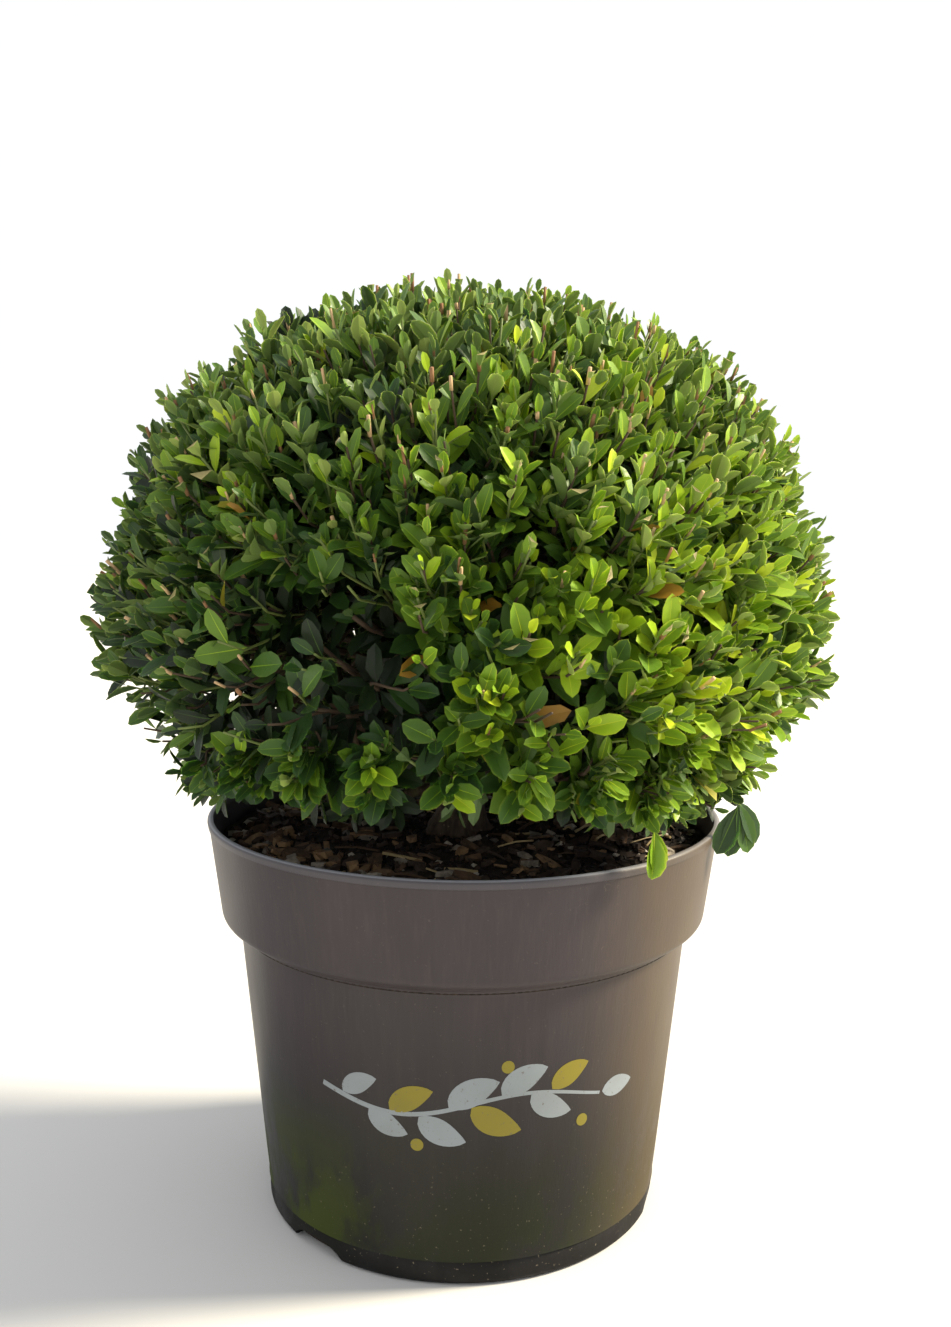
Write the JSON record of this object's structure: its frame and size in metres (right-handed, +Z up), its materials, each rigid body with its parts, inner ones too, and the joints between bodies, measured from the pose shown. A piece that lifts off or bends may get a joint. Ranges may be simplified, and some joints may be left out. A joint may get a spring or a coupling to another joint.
{
  "type": "potted Japanese holly ball",
  "caption": "Small-leaved evergreen shrub clipped into a dense ball, with loose sprays hanging out under it, in a round tapered nursery pot with a wide collar.",
  "frame": {"origin": "centre of the pot's flat underside", "axes": "+Z up along the pot's axis, -Y towards the front"},
  "size_m": [0.395, 0.3941, 0.5013],
  "materials": {
    "pot plastic": "satin",
    "potting mix": "matte",
    "bark": "matte",
    "ball foliage": "satin",
    "low foliage": "satin"
  },
  "bodies": {
    "root": {"pot": "pot plastic", "soil": "potting mix", "trunk": "bark", "bough_centre": "bark", "bough_right": "bark", "bough_back": "bark", "bough_left": "bark", "bough_front_left": "bark", "bough_front_right": "bark", "low_bough_right": "bark", "low_bough_back_right": "bark", "low_bough_back_left": "bark", "low_bough_left": "bark", "low_bough_front_left": "bark", "low_bough_front_right": "bark", "ball": "ball foliage", "low_spray_right": "low foliage", "low_spray_back_right": "low foliage", "low_spray_back_left": "low foliage", "low_spray_left": "low foliage", "low_spray_front_left": "low foliage", "low_spray_front_right": "low foliage"}
  },
  "joints": []
}
